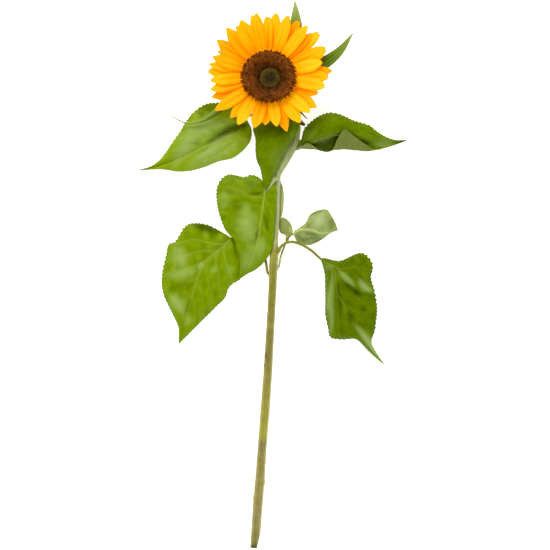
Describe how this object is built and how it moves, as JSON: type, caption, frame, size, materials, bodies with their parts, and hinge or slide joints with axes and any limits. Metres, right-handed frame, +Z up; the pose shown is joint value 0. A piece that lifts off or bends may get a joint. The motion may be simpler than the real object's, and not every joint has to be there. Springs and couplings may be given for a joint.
{
  "type": "cut sunflower",
  "caption": "Cut sunflower lying on its back: yellow rayed head with a brown domed disc, a long bent green stem, broad heart-shaped leaves and a small side shoot, for bouquets and set dressing",
  "frame": {"origin": "on the surface that the flower lies on, under the middle of its length and width", "axes": "+Y runs along the stem from the cut end to the flower head, +Z points up out of the face of the head, +X to the right when seen from above with the head at the top"},
  "size_m": [0.296, 0.6026, 0.0529],
  "materials": {
    "stem_skin": "satin",
    "leaf_green": "satin",
    "leaf_pale": "matte",
    "bract_green": "matte",
    "calyx_green": "matte",
    "petal_yellow": "satin",
    "floret_brown": "matte",
    "floret_olive": "matte"
  },
  "bodies": {
    "root": {"stem": "stem_skin", "side_shoot": "stem_skin", "receptacle": "calyx_green", "calyx": "calyx_green", "disc_florets": "floret_brown", "disc_eye": "floret_olive", "petal_01": "petal_yellow", "petal_02": "petal_yellow", "petal_03": "petal_yellow", "petal_04": "petal_yellow", "petal_05": "petal_yellow", "petal_06": "petal_yellow", "petal_07": "petal_yellow", "petal_08": "petal_yellow", "petal_09": "petal_yellow", "petal_10": "petal_yellow", "petal_11": "petal_yellow", "petal_12": "petal_yellow", "petal_13": "petal_yellow", "petal_14": "petal_yellow", "petal_15": "petal_yellow", "petal_16": "petal_yellow", "petal_17": "petal_yellow", "petal_18": "petal_yellow", "petal_19": "petal_yellow", "petal_20": "petal_yellow", "petal_21": "petal_yellow", "petal_22": "petal_yellow", "petal_23": "petal_yellow", "petal_24": "petal_yellow", "petal_25": "petal_yellow", "petal_26": "petal_yellow", "petal_27": "petal_yellow", "petal_28": "petal_yellow", "petal_29": "petal_yellow", "petal_30": "petal_yellow", "petal_31": "petal_yellow", "petal_32": "petal_yellow", "petal_33": "petal_yellow", "petal_34": "petal_yellow", "petal_35": "petal_yellow", "petal_36": "petal_yellow", "leaf_upper_left": "leaf_green", "leaf_upper_right": "leaf_green", "leaf_front_upper": "leaf_green", "leaf_middle": "leaf_green", "leaf_lower_left": "leaf_green", "leaf_lower_right": "leaf_green", "leaf_shoot_left": "leaf_pale", "leaf_shoot_right": "leaf_pale", "leaf_behind_stem": "leaf_pale", "bract_top": "bract_green", "bract_right": "bract_green", "bract_left": "bract_green", "bract_lower_right": "bract_green", "bract_bottom": "bract_green"}
  },
  "joints": []
}
